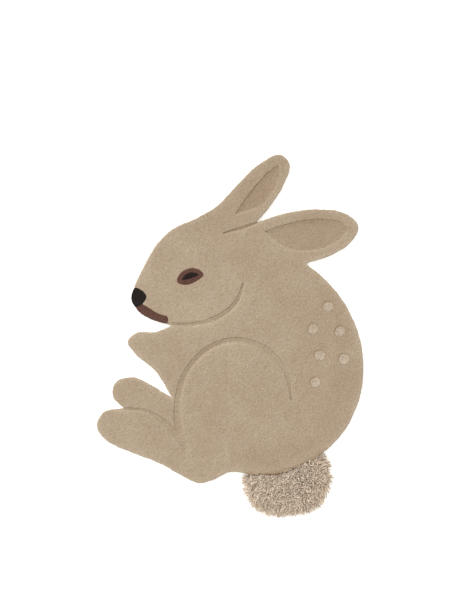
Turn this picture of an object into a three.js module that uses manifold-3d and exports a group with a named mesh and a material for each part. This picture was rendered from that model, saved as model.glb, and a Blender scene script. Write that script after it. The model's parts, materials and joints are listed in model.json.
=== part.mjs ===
// A hand-tufted wool rug in the shape of a curled rabbit that faces left, lying flat.
// Millimetres, +Z up, underside at z = 0. Two pile heights draw the rabbit: the cut pile,
// and a lower pile in the channels and ears. The tail is long shag on a tongue of the backing.
import * as THREE from "three";
import { mergeVertices } from "three/addons/utils/BufferGeometryUtils.js";
import Module from "manifold-3d";

// Driving dimensions
const BACKING = 3; // canvas and latex under the pile
const THICKNESS = 15; // backing and cut pile together
const CARVE = 4; // how much lower the low pile is
const SHOULDER = 3; // rounding of the cut pile at the rug's edge
const GAP = 0.3; // between two pieces
const STEP = 11; // chord along a smooth edge
const ABOVE = 6; // how far a cutter stands out of the pile
const SHARPEST = 0.4; // cosine of the half turn at which a mitred corner is cut short
const LOW_PILE = THICKNESS - CARVE;

const COLOUR = { wool: "#b5a189", shag: "#b09e89", spot: "#c0b09b", rust: "#68493f", dark: "#29221f" };

// Edge of the rug, clockwise. A row with a crease is a sharp notch: the edge is smooth between two of them.
const OUTLINE = [
  { at: "crotch of the ears", x: 66, y: 344, crease: true },
  { at: "near ear, upper edge", x: 150, y: 372 },
  { at: "near ear, upper middle", x: 248, y: 384 },
  { at: "near ear, shoulder of the tip", x: 332, y: 372 },
  { at: "near ear tip", x: 372, y: 334 },
  { at: "near ear, under the tip", x: 352, y: 288 },
  { at: "near ear, lower middle", x: 288, y: 246 },
  { at: "nape", x: 214, y: 222, crease: true },
  { at: "withers", x: 268, y: 178 },
  { at: "upper back", x: 338, y: 90 },
  { at: "back", x: 382, y: -30 },
  { at: "lower back", x: 380, y: -160 },
  { at: "rump", x: 330, y: -278 },
  { at: "tail root, upper", x: 244, y: -360 },
  { at: "tail root, lower", x: 134, y: -406 },
  { at: "under the rump", x: 50, y: -410 },
  { at: "hollow behind the heel", x: -12, y: -402 },
  { at: "heel, back", x: -58, y: -424 },
  { at: "heel", x: -106, y: -436 },
  { at: "heel, front", x: -152, y: -416 },
  { at: "sole", x: -216, y: -380 },
  { at: "ball of the foot", x: -306, y: -344 },
  { at: "toes, lower", x: -380, y: -310 },
  { at: "toes", x: -412, y: -266 },
  { at: "toes, upper", x: -390, y: -222 },
  { at: "cleft of the feet", x: -330, y: -212, crease: true },
  { at: "far toes, outer", x: -364, y: -176 },
  { at: "far toes", x: -356, y: -134 },
  { at: "far toes, inner", x: -308, y: -118 },
  { at: "far instep", x: -250, y: -142 },
  { at: "belly", x: -186, y: -182, crease: true },
  { at: "forearm", x: -236, y: -100 },
  { at: "forepaw, under", x: -296, y: -50 },
  { at: "forepaw", x: -320, y: -12 },
  { at: "forepaw, top", x: -290, y: 16 },
  { at: "wrist", x: -240, y: 16 },
  { at: "throat", x: -186, y: 36, crease: true },
  { at: "chin", x: -236, y: 50 },
  { at: "lip", x: -284, y: 76 },
  { at: "nose", x: -308, y: 114 },
  { at: "nose, top", x: -300, y: 150 },
  { at: "bridge of the nose", x: -278, y: 198 },
  { at: "brow", x: -240, y: 268 },
  { at: "forehead", x: -184, y: 326 },
  { at: "crown", x: -112, y: 358 },
  { at: "far ear root", x: -48, y: 398 },
  { at: "far ear, outer edge", x: 18, y: 468 },
  { at: "far ear, outer middle", x: 80, y: 524 },
  { at: "far ear tip", x: 136, y: 548 },
  { at: "far ear, past the tip", x: 166, y: 520 },
  { at: "far ear, under the tip", x: 150, y: 462 },
  { at: "far ear, inner middle", x: 110, y: 396 },
];

// Low-pile channels: centreline and width. The first end of a channel may run out over the edge.
const CHANNELS = {
  haunch: [
    { at: "bottom of the fold", x: -142, y: -336, width: 6 },
    { at: "thigh, front", x: -164, y: -276, width: 20 },
    { at: "above the belly notch", x: -168, y: -180, width: 18 },
    { at: "knee", x: -136, y: -92, width: 15 },
    { at: "top of the thigh, front", x: -66, y: -26, width: 15 },
    { at: "top of the thigh", x: 22, y: -8, width: 15 },
    { at: "hip", x: 108, y: -44, width: 14 },
    { at: "hip, back", x: 158, y: -110, width: 12 },
    { at: "end on the rump", x: 172, y: -190, width: 4 },
  ],
  foot: [
    { at: "out of the cleft of the feet", x: -350, y: -212, width: 8 },
    { at: "instep", x: -262, y: -222, width: 9 },
    { at: "ankle", x: -196, y: -266, width: 16 },
    { at: "bottom of the fold", x: -144, y: -336, width: 8 },
  ],
  cheek: [
    { at: "out of the throat", x: -206, y: 40, width: 8 },
    { at: "jaw", x: -120, y: 40, width: 10 },
    { at: "corner of the jaw", x: -44, y: 62, width: 14 },
    { at: "cheek", x: 8, y: 108, width: 13 },
    { at: "end under the ear", x: 28, y: 164, width: 4 },
  ],
  ears: [
    { at: "out of the crotch of the ears", x: 84, y: 350, width: 6 },
    { at: "between the ears", x: 20, y: 326, width: 7 },
    { at: "end on the crown", x: -34, y: 312, width: 3 },
  ],
};

// Low-pile leaves inside the ears
const LEAVES = {
  near: [
    { at: "root", x: 92, y: 318, crease: true },
    { at: "upper edge", x: 176, y: 344 },
    { at: "upper middle", x: 256, y: 354 },
    { at: "shoulder", x: 316, y: 346 },
    { at: "tip", x: 338, y: 324 },
    { at: "under the tip", x: 318, y: 296 },
    { at: "lower middle", x: 262, y: 266 },
    { at: "lower edge", x: 170, y: 264 },
  ],
  far: [
    { at: "root", x: 2, y: 368, crease: true },
    { at: "outer edge", x: 52, y: 438 },
    { at: "outer middle", x: 98, y: 490 },
    { at: "tip", x: 132, y: 514 },
    { at: "under the tip", x: 128, y: 466 },
    { at: "inner edge", x: 84, y: 398 },
  ],
};

// Areas tufted in other yarns, set through the cut pile. Each is cut by the one that it surrounds or follows.
const INLAYS = {
  eye_pupil: {
    colour: COLOUR.dark,
    edge: [
      { at: "front corner", x: -158, y: 172, crease: true },
      { at: "upper lid", x: -143, y: 191 },
      { at: "upper lid, back", x: -120, y: 195 },
      { at: "back corner", x: -106, y: 187, crease: true },
      { at: "lower lid", x: -130, y: 176 },
    ],
  },
  eye_rim: {
    colour: COLOUR.rust,
    follows: "eye_pupil",
    edge: [
      { at: "front corner", x: -172, y: 167 },
      { at: "upper lid, front", x: -160, y: 193 },
      { at: "upper lid", x: -134, y: 207 },
      { at: "upper lid, back", x: -106, y: 204 },
      { at: "back corner", x: -92, y: 188 },
      { at: "lower lid, back", x: -110, y: 170 },
      { at: "lower lid", x: -144, y: 157 },
    ],
  },
  nose: {
    colour: COLOUR.dark,
    edge: [
      { at: "out over the bridge", x: -330, y: 150, crease: true },
      { at: "upper edge", x: -284, y: 146 },
      { at: "back", x: -262, y: 124 },
      { at: "lower edge", x: -276, y: 100 },
      { at: "out over the lip", x: -310, y: 82, crease: true },
    ],
  },
  mouth: {
    colour: COLOUR.rust,
    follows: "nose",
    edge: [
      { at: "inside the nose", x: -292, y: 110, crease: true },
      { at: "upper edge", x: -262, y: 92 },
      { at: "upper edge, back", x: -226, y: 72 },
      { at: "corner of the mouth", x: -198, y: 62 },
      { at: "corner, lower", x: -200, y: 44 },
      { at: "out over the chin", x: -236, y: 34, crease: true },
      { at: "out over the lip", x: -320, y: 76, crease: true },
    ],
  },
};

// Raised lighter spots in two bows along the back
const SPOT = { radius: 14, rise: 2, perBow: 3 };
const BOWS = [
  { x: 60, y: -60, radius: 268, from: 35, to: -1 },
  { x: 60, y: -60, radius: 196, from: 26, to: -22 },
];

// Tail: a lumpy pad of shag, its plan a squarish ellipse, with locks round the free rim and over its top
const TAIL = {
  x: 158,
  y: -414,
  turn: 8,
  halfWidth: 146,
  depth: 132,
  squareness: 2.4,
  crown: 27,
  rim: 13,
  spokes: 64,
  lock: 24,
  tongue: 40,
};
const LOCK_ROWS = [
  { at: "on the floor", count: 84, inward: 4, z: 0, length: 26, width: 6, height: 8, drop: 0 },
  { at: "over those", count: 62, inward: 10, z: 7, length: 26, width: 6, height: 6, drop: 3 },
  { at: "rim of the top", count: 48, inward: 34, z: 15, length: 28, width: 7, height: 7, drop: 2 },
  { at: "middle of the top", count: 26, inward: 66, z: 19, length: 26, width: 7, height: 7, drop: 0 },
];

const wasm = await Module();
wasm.setup();

// Curves and loops: every loop is a list of Vector2, counter-clockwise

function smoothRun(rows, keys, step) {
  const points = rows.map((row) => new THREE.Vector3(...keys.map((key) => row[key] ?? 0)));
  const curve = new THREE.CatmullRomCurve3(points, false, "centripetal");
  return curve.getSpacedPoints(Math.max(2, Math.ceil(curve.getLength() / step)));
}

function smoothLoop(rows, step) {
  const creases = rows.filter((row) => row.crease);
  const runs = [];
  rows.forEach((row) => {
    if (row.crease || runs.length === 0) runs.push([]);
    runs.at(-1).push(row);
  });
  if (creases.length === 0) return closedLoop(rows, step);
  runs.forEach((run, i) => run.push(runs[(i + 1) % runs.length][0]));
  const loop = runs.flatMap((run) => smoothRun(run, ["x", "y"], step).slice(0, -1));
  return counterClockwise(loop.map((point) => new THREE.Vector2(point.x, point.y)));
}

function closedLoop(rows, step) {
  const points = rows.map((row) => new THREE.Vector3(row.x, row.y, 0));
  const curve = new THREE.CatmullRomCurve3(points, true, "centripetal");
  const loop = curve.getSpacedPoints(Math.ceil(curve.getLength() / step)).slice(0, -1);
  return counterClockwise(loop.map((point) => new THREE.Vector2(point.x, point.y)));
}

function counterClockwise(loop) {
  return THREE.ShapeUtils.area(loop) < 0 ? loop.reverse() : loop;
}

function circle(x, y, radius, sides) {
  return Array.from({ length: sides }, (_, i) => {
    const turn = (i / sides) * 2 * Math.PI;
    return new THREE.Vector2(x + radius * Math.cos(turn), y + radius * Math.sin(turn));
  });
}

// Moves a loop inwards by a distance, its corners mitred up to a limit.
function inset(loop, distance) {
  return loop.map((point, i) => {
    const arriving = inward(loop.at(i - 1), point);
    const leaving = inward(point, loop[(i + 1) % loop.length]);
    const mean = arriving.add(leaving).divideScalar(2);
    const mitre = Math.max(mean.length(), SHARPEST) ** 2;
    return point.clone().addScaledVector(mean, distance / mitre);
  });
}

function inward(from, to) {
  const along = to.clone().sub(from).normalize();
  return new THREE.Vector2(-along.y, along.x);
}

// The loop round a channel: its centreline offset to both sides by half its width.
function stroke(rows, step) {
  const middle = smoothRun(rows, ["x", "y", "width"], step);
  const sides = [1, -1].map((side) =>
    middle.map((point, i) => {
      const ahead = middle[Math.min(i + 1, middle.length - 1)];
      const behind = middle[Math.max(i - 1, 0)];
      const along = new THREE.Vector2(ahead.x - behind.x, ahead.y - behind.y).normalize();
      const reach = (side * point.z) / 2;
      return new THREE.Vector2(point.x - along.y * reach, point.y + along.x * reach);
    }),
  );
  return counterClockwise([...sides[0], ...sides[1].reverse()]);
}

// Solids

function toSolid(positions, triangles) {
  const geometry = new THREE.BufferGeometry();
  geometry.setAttribute("position", new THREE.Float32BufferAttribute(positions, 3));
  geometry.setIndex(triangles);
  const merged = mergeVertices(geometry, 1e-4);
  return new wasm.Manifold(
    new wasm.Mesh({
      numProp: 3,
      vertProperties: Float32Array.from(merged.attributes.position.array),
      triVerts: Uint32Array.from(merged.index.array),
    }),
  );
}

// Joins rings of equal length, from the lowest up, and caps the first and last one.
function loft(rings, bottomCap, topCap) {
  const sides = rings[0].length;
  const triangles = bottomCap.map(([a, b, c]) => [a, c, b]);
  for (let ring = 0; ring + 1 < rings.length; ring += 1) {
    for (let i = 0; i < sides; i += 1) {
      const a = ring * sides + i;
      const b = ring * sides + ((i + 1) % sides);
      triangles.push([a, b, b + sides], [a, b + sides, a + sides]);
    }
  }
  const top = (rings.length - 1) * sides;
  triangles.push(...topCap.map((triangle) => triangle.map((i) => i + top)));
  const positions = rings.flat().flatMap((point) => [point.x, point.y, point.z]);
  return toSolid(positions, triangles.flat());
}

// A slab over a loop, with one ring of it for each row { z, inset } of the profile.
function slab(loop, profile) {
  const outlines = profile.map((row) => inset(loop, row.inset));
  const rings = outlines.map((outline, k) =>
    outline.map((point) => new THREE.Vector3(point.x, point.y, profile[k].z)),
  );
  const cap = (outline) => THREE.ShapeUtils.triangulateShape(outline, []);
  return loft(rings, cap(outlines[0]), cap(outlines.at(-1)));
}

function prism(loop, low, high, grow = 0) {
  return slab(loop, [
    { z: low, inset: -grow },
    { z: high, inset: -grow },
  ]);
}

function pocket(loop) {
  return prism(loop, BACKING, THICKNESS + ABOVE);
}

function pieceMesh(name, solid, colour) {
  const cut = solid.getMesh();
  const geometry = new THREE.BufferGeometry();
  geometry.setAttribute("position", new THREE.BufferAttribute(cut.vertProperties, 3));
  geometry.setIndex(new THREE.BufferAttribute(cut.triVerts, 1));
  geometry.computeVertexNormals();
  const material = new THREE.MeshStandardMaterial({ color: colour, roughness: 0.95, metalness: 0 });
  const mesh = new THREE.Mesh(geometry, material);
  mesh.name = name;
  return mesh;
}

// Body: backing and cut pile in one, with a rounded edge at the top

const edge = smoothLoop(OUTLINE, STEP);

function plainBody() {
  return slab(edge, [
    { z: 0, inset: 0 },
    { z: THICKNESS - SHOULDER, inset: 0 },
    { z: THICKNESS - 0.3 * SHOULDER, inset: 0.3 * SHOULDER },
    { z: THICKNESS, inset: SHOULDER },
  ]);
}

function rugBody(pockets) {
  const low = [
    ...Object.values(CHANNELS).map((rows) => stroke(rows, STEP)),
    ...Object.values(LEAVES).map((rows) => smoothLoop(rows, STEP)),
  ];
  const tongue = prism(tailLoop(TAIL.tongue), 0, BACKING);
  const cutters = low.map((loop) => prism(loop, LOW_PILE, THICKNESS + ABOVE));
  return [...cutters, ...pockets].reduce((body, cutter) => body.subtract(cutter), plainBody().add(tongue));
}

// Inlays: the eye, nose and mouth, level with the cut pile

function inlays(whole) {
  const loops = {};
  const solids = {};
  for (const [name, { edge: rows, follows }] of Object.entries(INLAYS)) {
    loops[name] = smoothLoop(rows, 0.6 * STEP);
    const piece = prism(inset(loops[name], GAP), BACKING + GAP, THICKNESS + ABOVE).intersect(whole);
    solids[name] = follows ? piece.subtract(pocket(loops[follows])) : piece;
  }
  return { loops: Object.values(loops), solids };
}

// Spots: low domes

function spotPlaces() {
  return BOWS.flatMap((bow) =>
    Array.from({ length: SPOT.perBow }, (_, i) => {
      const share = i / (SPOT.perBow - 1);
      const turn = THREE.MathUtils.degToRad(bow.from + (bow.to - bow.from) * share);
      return { x: bow.x + bow.radius * Math.cos(turn), y: bow.y + bow.radius * Math.sin(turn) };
    }),
  );
}

function spot({ x, y }) {
  return slab(circle(x, y, SPOT.radius - GAP, 24), [
    { z: BACKING + GAP, inset: 0 },
    { z: THICKNESS - 1, inset: 0 },
    { z: THICKNESS + 0.5 * SPOT.rise, inset: 0.15 * SPOT.radius },
    { z: THICKNESS + SPOT.rise, inset: 0.5 * SPOT.radius },
  ]);
}

// Tail

function tailReach(bearing) {
  const turn = bearing - THREE.MathUtils.degToRad(TAIL.turn);
  const across = Math.abs(Math.cos(turn) / TAIL.halfWidth) ** TAIL.squareness;
  const down = Math.abs(Math.sin(turn) / TAIL.depth) ** TAIL.squareness;
  return (across + down) ** (-1 / TAIL.squareness);
}

function tailPoint(bearing, radius) {
  return new THREE.Vector2(TAIL.x + radius * Math.cos(bearing), TAIL.y + radius * Math.sin(bearing));
}

function tailLoop(inward) {
  return Array.from({ length: TAIL.spokes }, (_, i) => {
    const bearing = (i / TAIL.spokes) * 2 * Math.PI;
    return tailPoint(bearing, tailReach(bearing) - inward);
  });
}

// Lumps of the shag: two crossed waves that bend each other.
function lump(point) {
  const along = Math.sin(point.x / 9 + 1.3 * Math.sin(point.y / 15));
  const across = Math.sin(point.y / 8 + 1.1 * Math.sin(point.x / 12));
  return 1.8 * along + 1.8 * across;
}

function tailPad() {
  const shares = [1, 0.97, 0.88, 0.74, 0.58, 0.42, 0.26, 0.1];
  const rings = shares.map((share) =>
    Array.from({ length: TAIL.spokes }, (_, i) => {
      const bearing = (i / TAIL.spokes) * 2 * Math.PI;
      const point = tailPoint(bearing, share * (tailReach(bearing) - TAIL.lock));
      const rise = TAIL.rim + (TAIL.crown - TAIL.rim) * (1 - share ** 2.5);
      return new THREE.Vector3(point.x, point.y, rise + lump(point));
    }),
  );
  const floor = rings[0].map((point) => new THREE.Vector3(point.x, point.y, 0));
  const cap = THREE.ShapeUtils.triangulateShape(tailLoop(0), []);
  return loft([floor, ...rings], cap, cap);
}

// A lock of yarn: four sides, a root in the pad, a bend and a point. On the floor it lies level.
function lock(row, bearing, radius, swing) {
  const root = tailPoint(bearing, radius);
  const heading = bearing + swing;
  const along = new THREE.Vector2(Math.cos(heading), Math.sin(heading));
  const across = new THREE.Vector2(-along.y, along.x);
  const sections = [
    { reach: -6, width: row.width, low: row.z, high: row.z + row.height },
    { reach: 0.55 * row.length, width: 0.8 * row.width, low: row.z - 0.3 * row.drop, high: row.z + 0.75 * row.height },
    { reach: row.length, width: 0.25 * row.width, low: row.z - row.drop, high: row.z - row.drop + 0.25 * row.height },
  ];
  const rings = sections.map(({ reach, width, low, high }) => {
    const middle = root.clone().addScaledVector(along, reach);
    const left = middle.clone().addScaledVector(across, width / 2);
    const right = middle.clone().addScaledVector(across, -width / 2);
    return [
      new THREE.Vector3(right.x, right.y, low),
      new THREE.Vector3(left.x, left.y, low),
      new THREE.Vector3(left.x, left.y, high),
      new THREE.Vector3(right.x, right.y, high),
    ];
  });
  const cap = [
    [0, 1, 2],
    [0, 2, 3],
  ];
  return loft(rings, cap, cap);
}

function tailLocks() {
  return LOCK_ROWS.flatMap((row, level) =>
    Array.from({ length: row.count }, (_, i) => {
      const bearing = ((i + 0.37 * level) / row.count) * 2 * Math.PI;
      const swing = 0.28 * Math.sin(5.3 * i + 2.1 * level) + 0.12 * Math.sin(2.7 * i);
      const length = row.length * (1 + 0.16 * Math.sin(3.1 * i + level));
      const radius = tailReach(bearing) - TAIL.lock - row.inward;
      return { row: { ...row, length }, bearing, radius, swing };
    }),
  );
}

function tail() {
  const body = prism(edge, -1, TAIL.crown + 4 * ABOVE, GAP);
  const tongue = prism(tailLoop(TAIL.tongue), -1, BACKING + GAP, GAP);
  const clear = (place) => !inLoop(tailPoint(place.bearing, place.radius), edge);
  const locks = tailLocks().filter(clear);
  const shag = locks.reduce((pad, at) => pad.add(lock(at.row, at.bearing, at.radius, at.swing)), tailPad());
  return shag.subtract(body).subtract(tongue);
}

function inLoop(point, loop) {
  let inside = false;
  loop.forEach((a, i) => {
    const b = loop.at(i - 1);
    const crosses = a.y > point.y !== b.y > point.y;
    if (crosses && point.x < ((b.x - a.x) * (point.y - a.y)) / (b.y - a.y) + a.x) inside = !inside;
  });
  return inside;
}

// The rug

const group = new THREE.Group();
const coloured = inlays(plainBody());
const places = spotPlaces();
const pockets = [
  ...coloured.loops.map(pocket),
  ...places.map(({ x, y }) => pocket(circle(x, y, SPOT.radius, 24))),
];
group.add(pieceMesh("rug_body", rugBody(pockets), COLOUR.wool));
group.add(pieceMesh("tail_shag", tail(), COLOUR.shag));
for (const [name, solid] of Object.entries(coloured.solids)) {
  group.add(pieceMesh(name, solid, INLAYS[name].colour));
}
places.forEach((place, i) => group.add(pieceMesh(`back_spot_${i + 1}`, spot(place), COLOUR.spot)));

// The origin is under the middle of the rug's box.
const middle = new THREE.Box3().setFromObject(group).getCenter(new THREE.Vector3());
group.position.set(-middle.x, -middle.y, 0);

export default group;
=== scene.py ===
"""Dresses a tufted rug in the shape of a rabbit: cut and carved wool pile, a shag tail and a canvas back."""

import json

import bpy
import numpy as np
from bpy.props import FloatProperty, FloatVectorProperty, IntProperty, PointerProperty
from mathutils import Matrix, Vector
from mathutils.geometry import delaunay_2d_cdt

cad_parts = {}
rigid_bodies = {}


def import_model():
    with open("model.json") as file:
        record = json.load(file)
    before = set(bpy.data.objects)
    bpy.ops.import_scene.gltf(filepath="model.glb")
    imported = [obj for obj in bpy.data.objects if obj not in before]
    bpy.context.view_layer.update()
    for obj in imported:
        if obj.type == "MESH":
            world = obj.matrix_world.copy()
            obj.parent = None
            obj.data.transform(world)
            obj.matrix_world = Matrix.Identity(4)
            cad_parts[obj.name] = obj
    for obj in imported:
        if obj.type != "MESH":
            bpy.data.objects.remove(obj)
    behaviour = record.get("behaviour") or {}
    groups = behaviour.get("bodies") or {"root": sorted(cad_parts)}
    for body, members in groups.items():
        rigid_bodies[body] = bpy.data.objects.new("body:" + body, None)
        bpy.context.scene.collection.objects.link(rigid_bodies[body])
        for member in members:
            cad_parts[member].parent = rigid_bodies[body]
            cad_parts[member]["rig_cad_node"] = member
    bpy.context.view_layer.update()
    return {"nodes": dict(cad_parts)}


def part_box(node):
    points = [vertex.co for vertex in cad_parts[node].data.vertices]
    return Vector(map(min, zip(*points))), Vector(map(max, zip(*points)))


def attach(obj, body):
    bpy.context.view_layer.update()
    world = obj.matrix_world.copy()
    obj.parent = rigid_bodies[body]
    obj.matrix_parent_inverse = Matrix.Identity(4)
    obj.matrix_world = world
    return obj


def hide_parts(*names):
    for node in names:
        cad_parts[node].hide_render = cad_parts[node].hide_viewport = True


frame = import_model()

bl_info = {
    "name": "Rabbit Rug",
    "version": (1, 0, 0),
    "blender": (4, 5, 0),
    "location": "View3D > Sidebar > Rug",
    "description": "Builds a hand-tufted rug in the shape of a rabbit around its plain solids",
    "category": "Add Mesh",
}

MM = 0.001
BODY = "root"

# Levels of the solids, in metres above the floor
FLOOR_OF_PILE = 3 * MM
LOW_PILE = 11 * MM
CUT_PILE = 15 * MM
SECTION_LEVEL = 7 * MM  # cuts every pile piece, below all carving
CARVED_LEVEL = 11.5 * MM  # cuts the tall pile alone
CANVAS_LEVEL = 1.5 * MM
WALL_LEVEL = 8 * MM  # parts the pile's walls, for their ruffle

OUTLINE_STEP = 0.5 * MM  # between the points of an outline
JOINED = 1.2 * MM  # two outlines that are closer than this are joined yarns
HALF_GAP = 0.14 * MM  # a little less than half the gap between two solids
NEAR_TAIL = 6 * MM  # how far the tail's yarns press on the pile

# Rows of points beside a carved step, in widths of the step, and beside the rim, in roundings of the rim
STEP_ROWS = (0, 0.5, -0.5, 1.4, -1.3)
RIM_ROWS = (0.25, 0.6, 1.0)
ROW_HEIGHT = 0.866  # between the rows of a honeycomb, in spacings

# The pile is worked in three panels, parted along the neck, from throat to nape, and down the flank
NECK_X = (-173 * MM, 226 * MM)
NECK_Y = (36 * MM, 222 * MM)
FLANK_X = 85 * MM

# The pile leans a little towards the feet: to the right over the body, to the left over the ears
NAP_BEARINGS = np.radians([-50, -110])
NAP_Y = (150 * MM, 250 * MM)

TAIL_CROWN, TAIL_RIM = 10 * MM, 6 * MM  # heights of the pad under the yarns
TAIL_LOCK = 26 * MM  # how far the yarns at the rim reach past the pad
TAIL_SOURCE = np.array([0, 85 * MM])  # where they spread from, seen from the middle of the tail's root
TAIL_SECTIONS = 5  # along a yarn
WISP_RADIUS = 0.7 * MM

SPOTS = [f"back_spot_{i}" for i in range(1, 7)]
SPOT_WIDTH = 36 * MM  # any spot or pocket is narrower, and all else is wider
SPOT_SPREAD = 2 * MM  # how far its yarn spreads over the pile round it
SPOT_LEAN = 0.6 * MM  # how much it rises from its middle to its edge along the nap
SPOT_HOLLOW = 1 * MM
SPOT_SPACING, INLAY_SPACING = 1.2 * MM, 1.3 * MM  # between the points of small areas of pile
INLAYS = ["eye_rim", "eye_pupil", "nose", "mouth"]
PILE_NODES = ["rug_body", *INLAYS, *SPOTS]


# ---- colours


def linear(code):
    """sRGB hex to linear red, green, blue: a straight part near black and a 2.4 power above it."""
    share = np.array([int(code[i : i + 2], 16) for i in (1, 3, 5)]) / 255
    return tuple(np.where(share <= 0.04045, share / 12.92, ((share + 0.055) / 1.055) ** 2.4))


# ---- sizes and colours that a user may change


# How lengths, angles and colours are shown
LENGTH = {"unit": "LENGTH", "precision": 4}
ANGLE = {"subtype": "ANGLE"}
COLOUR = {"subtype": "COLOR"}


class PileSettings(bpy.types.PropertyGroup):
    spacing: FloatProperty(
        name="Tuft Spacing", description="Distance between the points of the pile's surface",
        default=1.9 * MM, min=1 * MM, max=8 * MM, **LENGTH)
    rim: FloatProperty(
        name="Rim Rounding", description="Radius to which the pile is sheared at the rug's edge",
        default=3 * MM, **LENGTH)
    join: FloatProperty(
        name="Join Rounding", description="Radius of the cut between two colours of yarn",
        default=0.4 * MM, **LENGTH)
    carve: FloatProperty(
        name="Carved Step", description="Width of the step from tall to low pile", default=2.2 * MM, **LENGTH)
    soften: FloatProperty(
        name="Outline Softness", description="Length over which corners of the outline are softened",
        default=3 * MM, **LENGTH)
    wool: FloatVectorProperty(
        name="Wool", description="Colour of the beige cut pile", default=linear("#B5A28A"), **COLOUR)
    spot: FloatVectorProperty(
        name="Spots", description="Colour of the light spots", default=linear("#C2B29D"), **COLOUR)
    rust: FloatVectorProperty(
        name="Rust", description="Colour of the eye's rim and the mouth", default=linear("#68493F"), **COLOUR)
    dark: FloatVectorProperty(
        name="Dark", description="Colour of the eye and the nose", default=linear("#29221F"), **COLOUR)
    canvas: FloatVectorProperty(
        name="Canvas", description="Colour of the cotton cloth on the back", default=linear("#CFC6B4"),
        **COLOUR)


class TailSettings(bpy.types.PropertyGroup):
    yarns: IntProperty(
        name="Yarns", description="Number of thick yarns in the tail", default=2800, min=100, max=3500)
    wisps: IntProperty(
        name="Wisps", description="Number of thin strands among the yarns", default=3000, min=100, max=6500)
    length: FloatProperty(
        name="Yarn Length", description="Length of a yarn", default=25 * MM, **LENGTH)
    thickness: FloatProperty(
        name="Yarn Thickness", description="Diameter of a yarn", default=3.1 * MM, **LENGTH)
    depth: FloatProperty(
        name="Depth", description="From the middle of the tail's root to its furthest yarn",
        default=132 * MM, **LENGTH)
    turn: FloatProperty(
        name="Turn", description="Angle of the tail against the rug", default=np.radians(8), **ANGLE)
    colour: FloatVectorProperty(
        name="Shag", description="Colour of the tail's yarn", default=linear("#F0E1CC"), **COLOUR)


class StageSettings(bpy.types.PropertyGroup):
    height: FloatProperty(
        name="Camera Height", description="Height of the camera above the floor", default=6.0, **LENGTH)
    view_width: FloatProperty(
        name="View Width", description="Width of floor in the picture", default=1.38, **LENGTH)
    aim: FloatProperty(
        name="Aim", description="How far towards the ears the camera stands from the middle", default=0.093,
        **LENGTH)
    key: FloatProperty(
        name="Key Light", description="Strength of the small soft light from beyond the face", default=0.78)
    softbox: FloatProperty(
        name="Softbox", description="Strength of the very large light round the small one", default=2.16)
    height_of_light: FloatProperty(
        name="Light Height", description="Angle of both lights above the floor", default=np.radians(44),
        **ANGLE)
    side_of_light: FloatProperty(
        name="Light Side", description="Bearing of both lights, from straight right", default=np.radians(130),
        **ANGLE)
    light_colour: FloatVectorProperty(
        name="Light Colour", description="Colour of both lights, a little cooler than white",
        default=(0.88, 0.926, 1.0), **COLOUR)
    glow: FloatProperty(
        name="Floor Glow", description="Brightness of the light table under the rug", default=0.45)
    sky: FloatProperty(
        name="Fill Light", description="Brightness of the pale surroundings", default=0.493)
    sky_colour: FloatVectorProperty(
        name="Fill Colour", description="Colour of the surroundings, a little warmer than white",
        default=(1.0, 0.943, 0.849), **COLOUR)


# ---- outlines read from the frame


def section(node, level):
    """Where a level plane cuts a node: one straight piece for each triangle that spans it, from the point
    on one cut edge to the point on the other, run so that the solid lies on its left."""
    mesh = frame["nodes"][node].data
    mesh.calc_loop_triangles()
    points = np.empty(len(mesh.vertices) * 3, np.float32)
    mesh.vertices.foreach_get("co", points)
    corners = np.empty(len(mesh.loop_triangles) * 3, np.int32)
    mesh.loop_triangles.foreach_get("vertices", corners)
    corners = points.reshape(-1, 3).astype(float)[corners.reshape(-1, 3)]
    above = corners[..., 2] > level
    count = above.sum(1)
    cut = (count == 1) | (count == 2)
    corners, above, count = corners[cut], above[cut], count[cut]
    lone = np.where(count == 1, above.argmax(1), (~above).argmax(1))
    rows = np.arange(len(corners))
    tip, left, right = (corners[rows, (lone + k) % 3] for k in range(3))

    def crossing(a, b):
        """Where edges cross the level, worked from their higher ends, so that neighbours agree."""
        higher = (a[:, 2] > b[:, 2])[:, None]
        high, low = np.where(higher, a, b), np.where(higher, b, a)
        share = (high[:, 2] - level) / (high[:, 2] - low[:, 2])
        return (high + share[:, None] * (low - high))[:, :2]

    first, second = crossing(tip, left), crossing(tip, right)
    up = (count == 1)[:, None]
    return np.where(up, first, second), np.where(up, second, first)


def loops_at(node, level):
    """The closed outlines of a node at a level: its cut pieces joined end to start."""
    starts, ends = section(node, level)
    after = {tuple(point): i for i, point in enumerate(np.round(starts, 8).tolist())}
    follow = [after[tuple(point)] for point in np.round(ends, 8).tolist()]
    loops, seen = [], set()
    for first in range(len(starts)):
        loop, i = [], first
        while i not in seen:
            seen.add(i)
            loop.append(i)
            i = follow[i]
        if len(loop) > 2:
            loops.append(starts[loop])
    return loops


def even_loop(loop, step, soften):
    """A closed outline with even steps, its corners softened by a bell curve along its length."""
    line = np.append(loop, loop[:1], 0) @ [1, 1j]
    run = np.append(0, np.cumsum(np.abs(np.diff(line))))
    count = max(12, round(run[-1] / step))
    at = np.arange(count) * run[-1] / count
    even = np.interp(at, run, line.real) + 1j * np.interp(at, run, line.imag)
    waves = np.fft.fftfreq(count, run[-1] / count)
    bell = np.exp(-2 * (np.pi * waves * soften) ** 2)
    even = np.fft.ifft(np.fft.fft(even) * bell)
    return np.stack([even.real, even.imag], 1)


def inward(loop):
    """Unit normals of a closed outline to its left: the way to its solid."""
    along = np.roll(loop, -1, 0) - np.roll(loop, 1, 0)
    along /= np.linalg.norm(along, axis=1)[:, None]
    return np.stack([-along[:, 1], along[:, 0]], 1)


# ---- distances and insides, band by band


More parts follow.
